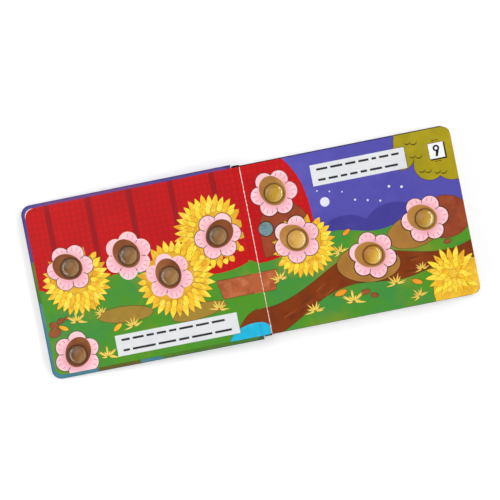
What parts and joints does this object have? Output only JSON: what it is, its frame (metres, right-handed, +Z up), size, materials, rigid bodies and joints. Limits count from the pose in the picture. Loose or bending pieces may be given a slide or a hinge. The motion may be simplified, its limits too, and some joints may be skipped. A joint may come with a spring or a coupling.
{
  "type": "board book",
  "caption": "Open board book with thick card pages, a hinged front and back cover and domed plastic poppers that press into the pages.",
  "frame": {"origin": "on the table under the middle of the open book", "axes": "+X along the open book from the front cover to the pages, +Y to the head of the page, +Z up"},
  "size_m": [0.4668, 0.1896, 0.0196],
  "materials": {
    "purple_wrap": "gloss laminated print",
    "green_wrap": "gloss laminated print",
    "teal_wrap": "gloss laminated print",
    "olive_wrap": "gloss laminated print",
    "dark_wrap": "gloss laminated print",
    "page_card": "white card with laminated faces",
    "red_print": "gloss laminated print",
    "dark_red_print": "gloss laminated print",
    "green_print": "gloss laminated print",
    "gold_print": "gloss laminated print",
    "pink_print": "gloss laminated print",
    "brown_print": "gloss laminated print",
    "dark_brown_print": "gloss laminated print",
    "tan_print": "gloss laminated print",
    "terracotta_print": "gloss laminated print",
    "teal_grey_print": "gloss laminated print",
    "cyan_print": "gloss laminated print",
    "orange_print": "gloss laminated print",
    "violet_print": "gloss laminated print",
    "deep_violet_print": "gloss laminated print",
    "pale_dot_print": "gloss laminated print",
    "olive_print": "gloss laminated print",
    "panel_print": "gloss laminated print",
    "black_print": "gloss laminated print",
    "white_print": "gloss laminated print",
    "popper_brown": "clear gloss tinted plastic over a brown ground",
    "popper_amber": "clear gloss amber plastic"
  },
  "bodies": {
    "pages": {"gutter_brown_band": "dark_brown_print", "gutter_green_band": "green_print", "gutter_red_band": "red_print", "gutter_strip": "page_card", "number_nine": "black_print", "number_tile": "white_print", "page_block": "page_card", "right_brown_hill": "brown_print", "right_brown_stream": "dark_brown_print", "right_gold_mound": "gold_print", "right_gold_rosettes": "gold_print", "right_green_field": "green_print", "right_olive_bush": "olive_print", "right_orange_seeds": "orange_print", "right_outlines": "dark_brown_print", "right_pale_panel": "panel_print", "right_panel_lines": "black_print", "right_pink_blossoms": "pink_print", "right_red_field": "red_print", "right_sky_dots": "pale_dot_print", "right_tan_centres": "tan_print", "right_tan_patches": "tan_print", "right_teal_window": "teal_grey_print", "right_terracotta_arch": "terracotta_print", "right_violet_hills": "deep_violet_print", "right_violet_sky": "violet_print", "spine_cover": "dark_wrap", "tile_shadow": "black_print"},
    "front_cover": {"border_green": "green_wrap", "border_olive": "olive_wrap", "border_purple": "purple_wrap", "border_teal": "teal_wrap", "first_leaf": "page_card", "front_cover_board": "purple_wrap", "left_brown_centres": "brown_print", "left_cyan_pond": "cyan_print", "left_gold_rosettes": "gold_print", "left_green_field": "green_print", "left_orange_seeds": "orange_print", "left_outlines": "dark_brown_print", "left_pale_panel": "panel_print", "left_panel_lines": "black_print", "left_pink_blossoms": "pink_print", "left_red_field": "red_print", "left_red_stripes": "dark_red_print", "left_tan_mounds": "tan_print", "left_terracotta_pot": "terracotta_print"},
    "back_cover": {"back_cover_board": "dark_wrap"},
    "popper_1_body": {"popper_1": "popper_brown"},
    "popper_2_body": {"popper_2": "popper_brown"},
    "popper_3_body": {"popper_3": "popper_brown"},
    "popper_4_body": {"popper_4": "popper_brown"},
    "popper_5_body": {"popper_5": "popper_brown"},
    "popper_6_body": {"popper_6": "popper_amber"},
    "popper_7_body": {"popper_7": "popper_amber"},
    "popper_8_body": {"popper_8": "popper_amber"},
    "popper_9_body": {"popper_9": "popper_amber"}
  },
  "joints": [
    {"name": "front_cover_hinge", "type": "hinge", "parent": "pages", "child": "front_cover", "pos_m": [0.00177, 0, 0.01825], "axis": [0, 1, 0], "range_deg": [0, 182.32]},
    {"name": "back_cover_hinge", "type": "hinge", "parent": "pages", "child": "back_cover", "pos_m": [0.00632, 0, 0.00265], "axis": [0, 1, 0], "range_deg": [0, 150]},
    {"name": "popper_1_press", "type": "slide", "parent": "front_cover", "child": "popper_1_body", "axis": [-0.0404, 0, 0.9992], "range_m": [-0.0022, 0], "stiffness_N_per_m": 900},
    {"name": "popper_2_press", "type": "slide", "parent": "front_cover", "child": "popper_2_body", "axis": [-0.0404, 0, 0.9992], "range_m": [-0.0022, 0], "stiffness_N_per_m": 900},
    {"name": "popper_3_press", "type": "slide", "parent": "front_cover", "child": "popper_3_body", "axis": [-0.0404, 0, 0.9992], "range_m": [-0.0022, 0], "stiffness_N_per_m": 900},
    {"name": "popper_4_press", "type": "slide", "parent": "front_cover", "child": "popper_4_body", "axis": [-0.0404, 0, 0.9992], "range_m": [-0.0022, 0], "stiffness_N_per_m": 900},
    {"name": "popper_5_press", "type": "slide", "parent": "front_cover", "child": "popper_5_body", "axis": [-0.0404, 0, 0.9992], "range_m": [-0.0022, 0], "stiffness_N_per_m": 900},
    {"name": "popper_6_press", "type": "slide", "parent": "pages", "child": "popper_6_body", "axis": [0, 0, 1], "range_m": [-0.0022, 0], "stiffness_N_per_m": 900},
    {"name": "popper_7_press", "type": "slide", "parent": "pages", "child": "popper_7_body", "axis": [0, 0, 1], "range_m": [-0.0022, 0], "stiffness_N_per_m": 900},
    {"name": "popper_8_press", "type": "slide", "parent": "pages", "child": "popper_8_body", "axis": [0, 0, 1], "range_m": [-0.0022, 0], "stiffness_N_per_m": 900},
    {"name": "popper_9_press", "type": "slide", "parent": "pages", "child": "popper_9_body", "axis": [0, 0, 1], "range_m": [-0.0022, 0], "stiffness_N_per_m": 900}
  ]
}
